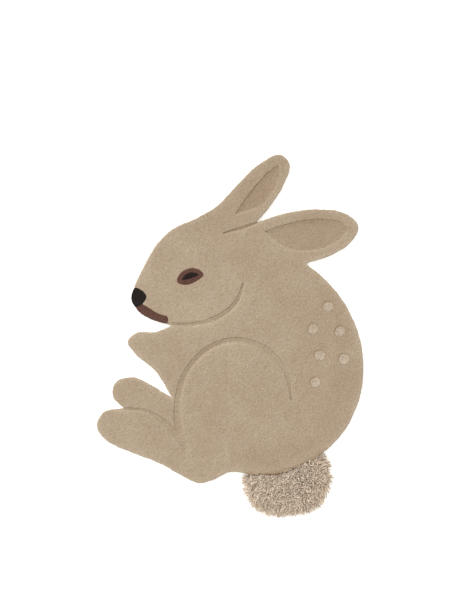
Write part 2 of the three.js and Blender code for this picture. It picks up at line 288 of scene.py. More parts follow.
def bands(points, lines, reach, height=12 * MM):
    """Cuts a set of points and one of samples into bands across Y, each sample also in bands within reach."""
    point_order = np.argsort(points[:, 1])
    line_order = np.argsort(lines[:, 1])
    point_y, line_y = points[point_order, 1], lines[line_order, 1]
    for low in np.arange(point_y[0], point_y[-1] + height, height):
        i, j = np.searchsorted(point_y, [low, low + height])
        k, m = np.searchsorted(line_y, [low - reach, low + height + reach])
        if i < j:
            yield point_order[i:j], line_order[k:m]


def nearest(points, samples, reach):
    """From each point to the closest sample: the distance, no more than reach, and the sample's number."""
    found, which = np.full(len(points), reach), np.zeros(len(points), int)
    for some, near in bands(points, samples, reach):
        if len(near):
            gap = np.abs((points[some] @ [1, 1j])[:, None] - (samples[near] @ [1, 1j])[None])
            closest = gap.argmin(1)
            found[some] = np.minimum(reach, gap[np.arange(len(some)), closest])
            which[some] = near[closest]
    return found, which


def distance(points, samples, reach):
    """From each point to the closest sample, and no more than reach."""
    return nearest(points, samples, reach)[0]


def enclosed(points, starts, ends):
    """Whether edges enclose a point: a line from it to the right crosses them an odd number of times."""
    longest = np.abs(ends - starts).max()
    within = np.zeros(len(points), bool)
    for some, near in bands(points, starts, longest):
        x, y = points[some, 0][:, None], points[some, 1][:, None]
        a, b = starts[near][None], ends[near][None]
        spans = (a[..., 1] > y) != (b[..., 1] > y)
        rise = np.where(spans, b[..., 1] - a[..., 1], 1)
        crossing = a[..., 0] + (y - a[..., 1]) / rise * (b[..., 0] - a[..., 0])
        within[some] = (spans & (crossing > x)).sum(1) % 2 == 1
    return within


def inside(points, loops):
    """Whether a point is in the closed outlines, each point of which has an edge to the next."""
    ends = [np.roll(loop, -1, 0) for loop in loops]
    return enclosed(points, np.concatenate(loops), np.concatenate(ends))


class Taken:
    """A fine grid of cells that notes where points already lie."""

    def __init__(self, low, high, cell):
        self.low, self.cell = low - 40 * cell, cell
        self.marks = np.zeros(np.ceil((high - low) / cell + 80).astype(int), bool)

    def cells(self, points):
        """The column and row of each point's cell."""
        return np.floor((points - self.low) / self.cell).astype(int)

    def mark(self, points, radius):
        """Marks every cell whose middle lies in a disc round a point."""
        size = int(np.ceil(radius / self.cell))
        steps = np.stack(np.meshgrid(*[np.arange(-size, size + 1)] * 2, indexing="ij"), -1).reshape(-1, 2)
        steps = steps[np.hypot(*steps.T) * self.cell <= radius]
        at = (self.cells(points)[:, None] + steps[None]).reshape(-1, 2)
        self.marks[at[:, 0], at[:, 1]] = True

    def free(self, points):
        """The points that lie in unmarked cells, at most one in each cell of the grid."""
        at = self.cells(points)
        clear = ~self.marks[at[:, 0], at[:, 1]]
        points, at = points[clear], at[clear]
        return points[np.unique(at, axis=0, return_index=True)[1]] if len(points) else points


# ---- noise


def value_noise(points, size, seed):
    """Random numbers from -1 to 1 on a square grid of the given size, turned by the seed in radians, and
    joined by smooth steps."""
    grid = np.random.default_rng(seed).uniform(-1, 1, (256, 256))
    turned = (points[:, 0] + 1j * points[:, 1]) * np.exp(1j * seed)
    at = np.stack([turned.real, turned.imag], 1) / size
    whole = np.floor(at).astype(int)
    part = at - whole
    part = part * part * (3 - 2 * part)
    (i, j), (u, v) = whole.T % 256, part.T
    i_next, j_next = (i + 1) % 256, (j + 1) % 256
    low = grid[i, j] * (1 - u) + grid[i_next, j] * u
    high = grid[i, j_next] * (1 - u) + grid[i_next, j_next] * u
    return low * (1 - v) + high * v


def fleece(points):
    """Unevenness of sheared pile, as noise of several sizes and heights in millimetres: tuft ends, two kinds
    of clumps, and slow waves of the shears and of the canvas."""
    waves = ((3.4, 0.34), (6.5, 0.28), (17, 0.22), (60, 0.3), (150, 0.35))
    return MM * sum(
        height * value_noise(points, size * MM, seed) for seed, (size, height) in enumerate(waves, 1))


# ---- meshes


def triangulate(points, edges):
    """Delaunay triangles that keep the given edges: their points, the triangles, counter-clockwise from
    above, and the number of the given point that each point was."""
    vectors = [Vector(point) for point in points.tolist()]
    out = delaunay_2d_cdt(vectors, edges.tolist(), [], 0, 1e-7, True)
    flat, triangles = np.array([tuple(point) for point in out[0]]), np.array(out[2])
    a, b, c = (flat[triangles[:, k]] for k in range(3))
    area = (b[:, 0] - a[:, 0]) * (c[:, 1] - a[:, 1]) - (b[:, 1] - a[:, 1]) * (c[:, 0] - a[:, 0])
    turned = np.where((area < 0)[:, None], triangles[:, ::-1], triangles)
    origin = np.array([source[0] if source else -1 for source in out[3]])
    return flat, turned[np.abs(area) > 1e-14], origin


def fill(flat, loops):
    """Delaunay triangles over points that begin with closed outlines, kept where they lie inside these."""
    edges, start = [], 0
    for loop in loops:
        here = start + np.arange(len(loop))
        edges.append(np.stack([here, np.roll(here, -1)], 1))
        start += len(loop)
    flat, triangles, _ = triangulate(flat, np.concatenate(edges))
    return flat, triangles[inside(flat[triangles].mean(1), loops)]


def used_points(points, triangles):
    """The points that some triangle has, the triangles numbered anew, and the points' old numbers."""
    used, triangles = np.unique(triangles, return_inverse=True)
    return points[used], triangles.reshape(-1, 3), used


def border(triangles, count):
    """Edges that only one triangle has, run with that triangle on their left."""
    edges = np.concatenate([triangles[:, [0, 1]], triangles[:, [1, 2]], triangles[:, [2, 0]]])
    forward = edges[:, 0] * count + edges[:, 1]
    backward = edges[:, 1] * count + edges[:, 0]
    return edges[~np.isin(forward, backward)]


def shell(top, triangles, levels):
    """Closes a top surface: walls from its border down through the levels, and a coarse flat underside."""
    rim = border(triangles, len(top))
    ids, ring = np.unique(rim, return_inverse=True)
    ring = ring.reshape(-1, 2)
    points, faces = [top], [triangles]
    above, start = ids, len(top)
    for level in levels:
        below = top[ids].copy()
        below[:, 2] = level
        points.append(below)
        here = start + np.arange(len(ids))
        a, b = above[ring[:, 0]], above[ring[:, 1]]
        c, d = here[ring[:, 0]], here[ring[:, 1]]
        faces += [np.stack([a, c, d], 1), np.stack([a, d, b], 1)]
        above, start = here, start + len(ids)
    line = top[ids, :2]
    flat, under, origin = triangulate(line, ring)
    keep = enclosed(flat[under].mean(1), line[ring[:, 0]], line[ring[:, 1]])
    faces.append(above[origin[under[keep]]][:, ::-1])
    return np.concatenate(points), np.concatenate(faces)


def add_mesh(name, points, faces, material, sharp=55, **values):
    """A smooth mesh object from arrays of points and triangles, sharp where an edge turns by more degrees
    than the limit, with one point attribute for each named array."""
    mesh = bpy.data.meshes.new(name)
    mesh.from_pydata(points, [], faces, shade_flat=False)
    if sharp:
        mesh.set_sharp_from_angle(angle=np.radians(sharp))
    for key, value in values.items():
        mesh.attributes.new(key, "FLOAT", "POINT").data.foreach_set("value", value.astype(np.float32))
    mesh.materials.append(material)
    piece = bpy.data.objects.new(name, mesh)
    bpy.context.scene.collection.objects.link(piece)
    return piece


# ---- materials


def add_node(tree, kind, inputs=None, links=None, **settings):
    """A new node with its settings, its input values by name or number, and links from (node, output)."""
    node = tree.nodes.new(kind)
    for key, value in settings.items():
        setattr(node, key, value)
    for key, value in (inputs or {}).items():
        node.inputs[key].default_value = value
    for key, (source, output) in (links or {}).items():
        tree.links.new(source.outputs[output], node.inputs[key])
    return node


def new_material(name):
    """An empty node material, with its tree."""
    material = bpy.data.materials.new(name)
    material.use_nodes = True
    material.node_tree.nodes.clear()
    return material, material.node_tree


def place_on_piece(tree, stretch=(1, 1, 1)):
    """The place on a piece, in metres, times the stretch."""
    place = add_node(tree, "ShaderNodeTexCoord")
    return add_node(tree, "ShaderNodeMapping", {"Scale": stretch}, {"Vector": (place, "Object")})


def mottle(tree, place, size, low, high, detail=2.0):
    """A grey pattern of patches of the given size in metres, from low to high."""
    noise = add_node(
        tree, "ShaderNodeTexNoise", {"Scale": 1 / size, "Detail": detail}, {"Vector": (place, 0)})
    return add_node(
        tree, "ShaderNodeMapRange",
        {"From Min": 0.3, "From Max": 0.7, "To Min": low, "To Max": high}, {"Value": (noise, "Fac")})


def layered(tree, shade, *patterns):
    """Grey patterns laid over each other: their product."""
    for pattern in patterns:
        shade = add_node(
            tree, "ShaderNodeMath", links={0: (shade, 0), 1: (pattern, 0)}, operation="MULTIPLY")
    return shade


def tinted(tree, colour, shade, depth=(0.78, 1.0, 1.15)):
    """A colour under a grey pattern: the colour times (1 + depth (shade - 1)), with more depth for blue than
    for red, because dyed wool turns warmer where light goes deeper into it."""
    depth, colour = np.array(depth), np.array(colour)
    return add_node(
        tree, "ShaderNodeVectorMath", {1: tuple(colour * depth), 2: tuple(colour * (1 - depth))},
        {0: (shade, 0)}, operation="MULTIPLY_ADD")


def marked(tree, name, start, end):
    """A grey pattern that goes from start to end as a point attribute goes from 0 to 1, and on beyond."""
    mark = add_node(tree, "ShaderNodeAttribute", attribute_name=name)
    return add_node(
        tree, "ShaderNodeMapRange", {"To Min": start, "To Max": end}, {"Value": (mark, "Fac")}, clamp=False)


def finished(material, paint, relief, strength, depth, finish):
    """Gives a material its colour, its finish and a relief of the given depth."""
    tree = material.node_tree
    bump = add_node(
        tree, "ShaderNodeBump", {"Strength": strength, "Distance": depth}, {"Height": (relief, 0)})
    shader = add_node(
        tree, "ShaderNodeBsdfPrincipled", finish, {"Base Color": (paint, 0), "Normal": (bump, 0)})
    add_node(tree, "ShaderNodeOutputMaterial", links={"Surface": (shader, 0)})
    return material


def cut_wool(name, colour, contrast=1.0):
    """Sheared wool pile. Its fibre ends scatter light widely, so it is matte with a soft sheen. Each tuft is
    a cell of 4.5 mm, painted light in its middle and painted dark where it meets the next, as shade between
    tufts; tufts and fibres also make its relief. Fibres of 2 mm and nap patches of 30 and 110 mm, lighter or
    darker, break up its colour. Tufts and fibres are coarser than real ones, so that they show, and stretch
    upright on the sides. The point attribute 'lie' from the mesh adds painted light and shade: highlights and
    shade for how light falls on the carving, the rim, the joins and the nap."""
    material, tree = new_material(name)
    where = place_on_piece(tree, (1, 1, 0.2))
    nap = mottle(tree, where, 110 * MM, 1 - 0.06 * contrast, 1 + 0.055 * contrast)
    brush = mottle(tree, where, 30 * MM, 1 - 0.03 * contrast, 1 + 0.025 * contrast)
    cells = add_node(tree, "ShaderNodeTexVoronoi", {"Scale": 1 / (4.5 * MM)}, {"Vector": (where, 0)})
    # painted shade between the tufts: each tuft light in its middle and dark at its edge; also the relief
    tuft = add_node(
        tree, "ShaderNodeMapRange",
        {"From Min": 0.1, "From Max": 0.75, "To Min": 1 + 0.09 * contrast, "To Max": 1 - 0.15 * contrast},
        {"Value": (cells, "Distance")})
    fibre = mottle(tree, where, 1.8 * MM, 1 - 0.24 * contrast, 1 + 0.22 * contrast, 3.0)
    texture = layered(tree, tuft, fibre)
    # the attribute 'lie': painted light and shade, worked out in pile_surface
    shade = layered(tree, nap, brush, texture, marked(tree, "lie", 1.0, 2.0))
    return finished(material, tinted(tree, colour, shade), texture, 0.7, 0.9 * MM, {
        "Roughness": 0.95, "IOR": 1.45, "Specular IOR Level": 0.2, "Sheen Weight": 0.12,
        "Sheen Roughness": 0.5})


def shag_yarn(name, colour):
    """Two-ply carded wool yarn, thick and loosely spun: matte, with next to no sheen. A slanting line of
    painted shade, also a relief, marks each turn of the ply and a mottle of 0.9 mm its fibres. Its roots are
    painted a third as light as its tip and warmer, as shade deep in the shag, and each yarn is up to a
    quarter lighter or darker than the next, at random, and darker beside the body, as painted shade."""
    material, tree = new_material(name)
    turns = add_node(tree, "ShaderNodeAttribute", attribute_name="ply")
    wave = add_node(tree, "ShaderNodeMath", links={0: (turns, "Fac")}, operation="SINE")
    ply = add_node(
        tree, "ShaderNodeMapRange", {"From Min": -1.0, "To Min": 0.9, "To Max": 1.04}, {"Value": (wave, 0)})
    fibre = mottle(tree, place_on_piece(tree), 0.9 * MM, 0.84, 1.12, 3.0)
    texture = layered(tree, ply, fibre)
    own = layered(tree, marked(tree, "tone", 0.74, 1.26), texture)
    # painted shade: the roots darker and warmer than the tips
    deep = tinted(tree, colour, marked(tree, "along", 0.35, 1.0), (0.76, 1.0, 1.15))
    paint = add_node(tree, "ShaderNodeVectorMath", links={0: (deep, 0), "Scale": (own, 0)}, operation="SCALE")
    return finished(material, paint, texture, 0.6, 0.5 * MM, {
        "Roughness": 0.9, "IOR": 1.45, "Specular IOR Level": 0.05, "Sheen Weight": 0.02,
        "Sheen Roughness": 0.4})


def cotton_canvas(name, colour):
    """Plain-woven cotton drawn over the latex of the back, matte and a little uneven: bands across and along
    it are threads of 2 mm, the lighter of the two lying on top."""
    material, tree = new_material(name)
    where = place_on_piece(tree)
    weave = [
        add_node(
            tree, "ShaderNodeTexWave", {"Scale": 0.5 / (2 * MM) / 3.2, "Distortion": 0.6, "Detail": 1.0},
            {"Vector": (where, 0)}, bands_direction=axis)
        for axis in ("X", "Y")
    ]
    cross = add_node(
        tree, "ShaderNodeMath", links={0: (weave[0], "Fac"), 1: (weave[1], "Fac")}, operation="MAXIMUM")
    thread = add_node(tree, "ShaderNodeMapRange", {"To Min": 0.82, "To Max": 1.04}, {"Value": (cross, 0)})
    age = mottle(tree, where, 60 * MM, 0.95, 1.04)
    paint = tinted(tree, colour, layered(tree, thread, age))
    return finished(material, paint, cross, 0.6, 0.5 * MM, {"Roughness": 0.85, "Specular IOR Level": 0.3})


def light_table(name, colour, glow):
    """Ground opal glass lit from below: dull, with an even glow in which soft shadows all but vanish."""
    material, tree = new_material(name)
    shader = add_node(
        tree, "ShaderNodeBsdfPrincipled",
        {"Base Color": (*colour, 1), "Roughness": 1.0, "Specular IOR Level": 0.0,
         "Emission Color": (1, 1, 1, 1), "Emission Strength": glow})
    add_node(tree, "ShaderNodeOutputMaterial", links={"Surface": (shader, 0)})
    return material


# ---- pile


def cut_by_hand(points):
    """Shifts points by a slow and a quick unevenness of the shears, the same for all yarns at one place."""
    shift = [
        0.65 * value_noise(points, 5 * MM, seed) + 0.8 * value_noise(points, 21 * MM, seed + 1)
        for seed in (51, 53)
    ]
    return points + MM * np.stack(shift, 1)


def is_spot(loop):
    """Whether an outline is a spot's or its pocket's, by its width."""
    return np.ptp(loop, axis=0).max() < SPOT_WIDTH


def soft_loops(node, level):
    """The outlines of a node at a level in fine even steps, their corners softened, as cut by hand. Spots and
    their pockets are a little larger, because their yarn spreads. The tail's yarns ruffle the outline."""
    spread = SPOT_SPREAD if node == "rug_body" else -SPOT_SPREAD
    loops = []
    for loop in loops_at(node, level):
        loop = cut_by_hand(even_loop(loop, OUTLINE_STEP, bpy.context.scene.rug_pile.soften))
        if is_spot(loop):
            uneven = spread * (1 + 0.6 * value_noise(loop, 12 * MM, 57))
            loop = loop + uneven[:, None] * inward(loop)
        ruffle = 3.5 * MM * value_noise(loop, 14 * MM, 55) * by_tail(loop, NEAR_TAIL)
        loops.append(loop + ruffle[:, None] * inward(loop))
    return loops


def by_tail(points, reach):
    """One beside the tail's solid, falling off as a bell curve with the distance from it."""
    tail = np.concatenate([even_loop(loop, 2 * MM, 0) for loop in loops_at("tail_shag", SECTION_LEVEL)])
    return np.exp(-((distance(points, tail, 4 * reach) / reach) ** 2))


def adjoins(line, others):
    """Whether another yarn joins an outline at a point: whether its own outline is near."""
    return distance(line, others, 3 * MM) < JOINED


def close_gap(loop, others):
    """Moves an outline out by half the gap between two solids, wherever another yarn joins it."""
    return loop - HALF_GAP * adjoins(loop, others)[:, None] * inward(loop)


def pile_points(loops, carved, spacing, seed):
    """Points over the pile: its outlines, rows beside them, rows on both sides of each carved step, and
    a shaken honeycomb of points everywhere else."""
    settings = bpy.context.scene.rug_pile
    outline = [even_loop(loop, spacing, 0) for loop in loops]
    every = np.concatenate(outline)
    low, high = every.min(0), every.max(0)
    taken = Taken(low, high, spacing / 6)
    taken.mark(every, 0.45 * spacing)
    points = [every]
    rows = [loop + away * settings.rim * inward(loop) for loop in outline for away in RIM_ROWS]
    skip = max(1, round(spacing / OUTLINE_STEP))
    rows += [
        (line + away * settings.carve * normals)[::skip] for away in STEP_ROWS for line, normals in carved]
    for row in rows:
        row = row[inside(row, outline)]
        if len(row):
            row = taken.free(row)
            taken.mark(row, 0.4 * spacing)
            points.append(row)
    taken.mark(np.concatenate(points), 0.72 * spacing)
    x, y = np.meshgrid(
        np.arange(low[0], high[0], spacing), np.arange(low[1], high[1], spacing * ROW_HEIGHT))
    x = x + spacing / 2 * (np.arange(len(x)) % 2)[:, None]
    comb = np.stack([x.ravel(), y.ravel()], 1)
    comb += np.random.default_rng(seed).uniform(-0.16, 0.16, comb.shape) * spacing
    points.append(taken.free(comb[inside(comb, outline)]))
    return outline, np.concatenate(points)


def carved_lines(loops, outline):
    """The parts of the tall pile's outlines that lie inside the rug, with their normals."""
    lines = []
    for loop in loops:
        clear = distance(loop, np.concatenate(outline), 4 * MM) > 1.5 * MM
        if clear.any():
            lines.append((loop[clear], inward(loop)[clear]))
    return lines


def facing(points, normals):
    """How far the pile leans the way of the given normals: one along the nap, nought against it."""
    bearing = np.interp(points[:, 1], NAP_Y, NAP_BEARINGS)
    return 0.5 + 0.5 * (normals[:, 0] * np.cos(bearing) + normals[:, 1] * np.sin(bearing))


def round_off(gap, radius):
    """Drop of a surface near an edge: a quarter circle of the radius, nought beyond it."""
    part = np.clip(gap / radius, 0, 1)
    return radius * (1 - np.sqrt(1 - (1 - part) ** 2))


def carved_steps(flat, drawn_in, tall, lines):
    """The steps between tall and low pile: how far each point lies below the tall pile, as a smooth S, how
    far it is carved, from 0 to 1, and how much lighter it is painted. Where the leaning pile overhangs the
    low pile, the step is narrow with a crease painted dark, as shade, and the low pile rises to it. Where it
    leans back, the step is a broad rounded shoulder with a painted highlight, as if lit from the side. The
    low pile is painted a little darker, as shade. The points drawn in from the rim tell its high side."""
    step, which = nearest(flat, np.concatenate([line for line, _ in lines]), 20 * MM)
    back = facing(flat, np.concatenate([normals for _, normals in lines])[which])
    side = np.where(inside(drawn_in, tall), 1, -1)
    raised = np.clip(0.5 + side * step / (bpy.context.scene.rug_pile.carve * (0.5 + back)), 0, 1)
    carved = 1 - raised * raised * (3 - 2 * raised)
    shelf = np.where(side < 0, 0.6 * (1 - back), 0) * np.exp(-((step / (8 * MM)) ** 2))
    crest = np.exp(-step / (MM * (0.6 + 3.1 * back))) * np.where(side > 0, 0.3 + 0.8 * back, 0.3) * MM
    crease = (1 - back) * np.exp(-((step / (1.1 * MM)) ** 2))
    crest += 0.7 * MM * crease
    shoulder = np.where(side > 0, back, 0) * np.exp(-step / (6 * MM))
    drop = carved * (1 - shelf) * (CUT_PILE - LOW_PILE) + crest
    # painted light and shade: a highlight on the lit shoulder, shade in the crease and over the low pile
    return drop, carved, 0.09 * shoulder - 0.05 * crease - 0.025 * carved


def painted_nap_shade_and_falloff(flat, carved):
    """Painted light and shade over the pile, as lightness to add: painted shade, as of nap stroked the other
    way, towards the tips of the ears, the more so in their low pile, and in a band down the back's edge, a
    ring round the haunch; painted light that falls off to the right over the back; and a painted pool of
    light round the cheek, as a bell curve. Lengths are in millimetres."""
    x, y = flat.T / MM
    ears = np.clip((y - 250 - 40 * value_noise(flat, 60 * MM, 7)) / 180, 0, 1)
    ears += 0.8 * carved * np.clip((y - 200) / 30, 0, 1)
    ring = np.hypot(x - 40, y + 60) + 25 * value_noise(flat, 90 * MM, 8)
    edge = np.exp(-(((ring - 310) / 28) ** 2)) * (x > 0)
    # painted light: darker to the right over the back, lighter round the cheek
    back = np.clip(x / 280, 0, 1) * np.clip((220 - y) / 100, 0, 1)
    cheek = np.exp(-((np.hypot(x + 60, y - 90) / 130) ** 2))
    return 0.05 * cheek - 0.09 * ears - 0.05 * edge - 0.055 * back


def join_shade(gap, back, in_spot, by_spot):
    """How much lighter pile is painted beside another yarn, as a bell curve over its distance from the join:
    painted shade where leaning pile overhangs it, and a painted highlight where pile leans away. A spot is
    painted darker on its side along the nap. The pile round it is painted darker on the side against the nap,
    and more widely. Beside the face's yarns the pile is painted darker against the nap and lighter along it."""
    if in_spot:
        return -0.14 * back * np.exp(-((gap / (1.8 * MM)) ** 2))
    shade = np.where(by_spot, -0.34 * (1 - back) ** 1.5, 0.2 * back - 0.18)
    return shade * np.exp(-((gap / np.where(by_spot, 3 * MM, 1.8 * MM)) ** 2))


def pile_surface(node, seed, spacing=None):
    """The top of one area of pile: its points, their triangles, and how much lighter or darker each point is
    painted, as light and shade, kept in the attribute 'lie'. The height is the level of the yarn, less a
    quarter circle at the rim or at the join to another yarn, less the carved step, plus the fleece. A spot
    also slopes up along the nap and is hollowed. The body's pile fans out at the rim and gets a painted
    highlight there, except beside the tail, where it is painted darker, as shade."""
    settings = bpy.context.scene.rug_pile
    spacing = spacing or settings.spacing * 1
    fine = soft_loops(node, SECTION_LEVEL)
    others = np.concatenate(
        [loop for other in PILE_NODES if other != node for loop in soft_loops(other, SECTION_LEVEL)])
    edge = np.concatenate(fine)
    normals = np.concatenate([inward(loop) for loop in fine])
    joined = adjoins(edge, others)
    tall = soft_loops(node, CARVED_LEVEL) if node == "rug_body" else []
    lines = carved_lines(tall, fine)
    outline, flat = pile_points([close_gap(loop, others) for loop in fine], lines, spacing, seed)
    flat, triangles, _ = used_points(*fill(flat, outline))

    rim_gap = distance(flat, edge[~joined], 2 * settings.rim)
    join_gap, which = nearest(flat, edge[joined], 2 * settings.rim)
    rim = settings.rim * (1 - 0.7 * by_tail(flat, NEAR_TAIL))
    height = CUT_PILE - round_off(rim_gap, rim) - round_off(join_gap, settings.join)
    of_spot = np.concatenate([np.full(len(loop), is_spot(loop)) for loop in fine])
    back = facing(flat, normals[joined][which])
    # painted shade and highlights beside the joins
    lie = join_shade(join_gap, back, node in SPOTS, of_spot[joined][which])
    if lines:
        gap, which = nearest(flat, edge, MM)
        drawn_in = flat + np.where(gap < OUTLINE_STEP, 0.8 * MM, 0)[:, None] * normals[which]
        drop, carved, lighter = carved_steps(flat, drawn_in, tall, lines)
        # painted highlight along the rim, and painted shade beside the tail
        rim_highlight = np.exp(-distance(flat, edge[~joined][::4], 30 * MM) / (8.5 * MM))
        tail = by_tail(flat, 1.5 * NEAR_TAIL)
        height -= drop
        lie += lighter + painted_nap_shade_and_falloff(flat, carved) + 0.25 * rim_highlight * (1 - tail) - 0.22 * tail
    if node in SPOTS:
        out = flat - edge.mean(0)
        radius = np.hypot(*(edge - edge.mean(0)).T).mean()
        along_nap = out @ [np.cos(NAP_BEARINGS[0]), np.sin(NAP_BEARINGS[0])]
        height += SPOT_LEAN * along_nap / radius - SPOT_HOLLOW * (1 - (out**2).sum(1) / radius**2)
    height += fleece(flat) * np.clip(0.35 + rim_gap / settings.rim, 0, 1)
    return np.column_stack([flat, height]), triangles, lie


def close_pile(name, surface, triangles, lie, material, slot, node):
    """Makes a piece of a top surface: walls down to the canvas, ruffled by fibres, and an underside. It
    takes a node's place on the rug's one body."""
    surface, triangles, used = used_points(surface, triangles)
    points, faces = shell(surface, triangles, [WALL_LEVEL, FLOOR_OF_PILE])
    walls = np.arange(len(points)) >= len(surface)
    ruffle = 0.35 * MM * value_noise(points, 2.6 * MM, 9)
    points[walls, 0] += ruffle[walls]
    points[walls, 1] -= ruffle[walls]
    # the attribute 'lie': painted light and shade on the top, nought on the walls
    lie = np.append(lie[used], np.zeros(len(points) - len(surface)))
    piece = add_mesh(name, points, faces, material, lie=lie)
    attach(piece, BODY)
    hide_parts(node)


class RUG_OT_canvas(bpy.types.Operator):
    """Lays the cotton back of the rug, up to the foot of the pile, its outline drawn in a little under it."""

    bl_idname = "rug.canvas"
    bl_label = "Canvas Back"

    def execute(self, context):
        settings = context.scene.rug_pile
        step, drawn_in = 4 * MM, 0.8 * MM
        loops = [even_loop(loop, step, settings.soften) for loop in loops_at("rug_body", CANVAS_LEVEL)]
        loops = [loop + drawn_in * inward(loop) for loop in loops]
        flat, triangles = fill(np.concatenate(loops), loops)
        top = np.column_stack([flat, np.full(len(flat), FLOOR_OF_PILE)])
        points, faces = shell(top, triangles, [0.0])
        material = cotton_canvas("cotton canvas", settings.canvas)
        piece = add_mesh("canvas_back", points, faces, material)
        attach(piece, BODY)
        return {"FINISHED"}


class RUG_OT_cut_pile(bpy.types.Operator):
    """Tufts the beige wool in three panels, head, haunch and back, that meet along the neck and the flank."""

    bl_idname = "rug.cut_pile"
    bl_label = "Cut Pile"

    def execute(self, context):
        material = cut_wool("sheared wool, beige", context.scene.rug_pile.wool)
        surface, triangles, lie = pile_surface("rug_body", 11)
        middles = surface[triangles].mean(1)
        in_head = middles[:, 1] > np.interp(middles[:, 0], NECK_X, NECK_Y)
        in_back = ~in_head & (middles[:, 0] > FLANK_X)
        panels = {"pile_head": in_head, "pile_haunch": ~in_head & ~in_back, "pile_back": in_back}
        for name, part in panels.items():
            close_pile(name, surface, triangles[part], lie, material, "wool_pile", "rug_body")
        return {"FINISHED"}


class RUG_OT_inlays(bpy.types.Operator):
    """Tufts the eye, nose and mouth in dark and rust wool, level with the pile."""

    bl_idname = "rug.inlays"
    bl_label = "Eye, Nose and Mouth"

    def execute(self, context):
        settings = context.scene.rug_pile
        dark = cut_wool("sheared wool, near black", settings.dark, 2.0)
        rust = cut_wool("sheared wool, rust", settings.rust, 1.7)
        yarns = {"eye_pupil": dark, "nose": dark, "eye_rim": rust, "mouth": rust}
        for seed, (node, material) in enumerate(yarns.items(), 21):
            surface = pile_surface(node, seed, INLAY_SPACING)
            slot = "dark_yarn" if material is dark else "rust_yarn"
            close_pile(f"pile_{node}", *surface, material, slot, node)
        return {"FINISHED"}


class RUG_OT_spots(bpy.types.Operator):
    """Tufts the light spots of the back."""

    bl_idname = "rug.spots"
    bl_label = "Spots"

    def execute(self, context):
        material = cut_wool("sheared wool, light", context.scene.rug_pile.spot, 1.5)
        for seed, node in enumerate(SPOTS, 31):
            surface = pile_surface(node, seed, SPOT_SPACING)
            close_pile(f"pile_{node}", *surface, material, "spot_yarn", node)
        return {"FINISHED"}


# ---- tail


def tail_plan(settings):
    """Middle of the tail's root, and a function from a bearing to the tail's reach."""
    low, high = (np.array(corner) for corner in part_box("tail_shag"))
    centre = np.array([(low[0] + high[0]) / 2, low[1] + settings.depth + 2.4 * MM])
    half = (high[0] - low[0]) / 2
    power = 2.4

    def reach(bearing):
        """A squarish ellipse: the powers of across over half the width and of down over the depth add up
        to one."""
        turned = bearing - settings.turn
        across = np.abs(np.cos(turned) / half) ** power
        down = np.abs(np.sin(turned) / settings.depth) ** power
        return (across + down) ** (-1 / power)

    return centre, reach


def swell(share):
    """Height of the tail's pad: from its rim to its crown, as one less the 2.5th power of the share of the
    way out from the middle."""
    return TAIL_RIM + (TAIL_CROWN - TAIL_RIM) * (1 - share**2.5)


def valley(gap):
    """How much the tail's pad is lower beside the body: it falls off with the distance from its edge."""
    return 2 * MM * np.exp(-gap / (5 * MM))


def tail_roots(count, plan, rng, body):
    """Places of yarn roots, even over the tail's pad and outside the body's outline: each with its share
    of the way out from the middle and its distance from the body."""
    centre, reach = plan
    tries = 6 * count
    bearing = rng.uniform(0, 2 * np.pi, tries)
    share = np.sqrt(rng.uniform(0, 1, tries))
    radius = share * (reach(bearing) - TAIL_LOCK)
    flat = centre + radius[:, None] * np.stack([np.cos(bearing), np.sin(bearing)], 1)
    gap = distance(flat, np.concatenate(body), 60 * MM)
    outside = ~inside(flat, body) & (gap > 0.6 * MM)
    return (values[outside][:count] for values in (flat, share, gap))


def tail_headings(flat, share, centre, length, body, rng):
    """Bearings of the yarns: out from a point up in the body at the rim, and in clumps that lean any way in
    the middle. A yarn whose tip would lie well over the body is turned out."""
    source = centre + TAIL_SOURCE
    out = np.arctan2(*(flat - source).T[::-1])
    clump = 2.6 * value_noise(flat, 20 * MM, 61) + 1.3 * rng.normal(0, 1, len(flat))
    heading = out + clump * (1.2 - 0.9 * share**3)
    tips = flat + 0.8 * length * np.stack([np.cos(heading), np.sin(heading)], 1)
    over = inside(tips, body) & (distance(tips, np.concatenate(body), 5 * MM) > 2.5 * MM)
    return np.where(over, out + 0.25 * clump, heading)


def tail_base(plan, body):
    """The closed pad under the yarns: rings round the middle, each ray ending short of the tail's reach or
    at the body, lifted by the swell and by lumps. Its underside is the same rings on the floor."""
    centre, reach = plan
    spokes, rings, probes, clearance = 160, 30, 240, 0.4 * MM
    bearing = np.arange(spokes) / spokes * 2 * np.pi
    ray = np.stack([np.cos(bearing), np.sin(bearing)], 1)
    outer = reach(bearing) - TAIL_LOCK
    steps = np.linspace(0, 1, probes)
    along = centre + (steps[:, None, None] * outer[None, :, None]) * ray
    blocked = inside(along.reshape(-1, 2), body).reshape(probes, spokes)
    clear = np.where(blocked.any(0), steps[blocked.argmax(0)], 1.0) * outer - clearance
    share = np.linspace(0.02, 1, rings)
    flat = centre + (share[:, None] * clear)[..., None] * ray
    level = flat.reshape(-1, 2)
    lumps = 1.6 * MM * value_noise(level, 13 * MM, 62)
    lumps -= valley(distance(level, np.concatenate(body), 60 * MM))
    rise = swell(share[:, None] * clear / outer) + lumps.reshape(rings, spokes)
    top = np.concatenate([flat, rise[..., None]], 2)
    floor = np.concatenate([flat[::-1], np.full((rings, spokes, 1), clearance)], 2)
    return np.concatenate([top, floor]).reshape(-1, 3), tube_faces(1, 2 * rings, spokes)[:, ::-1]


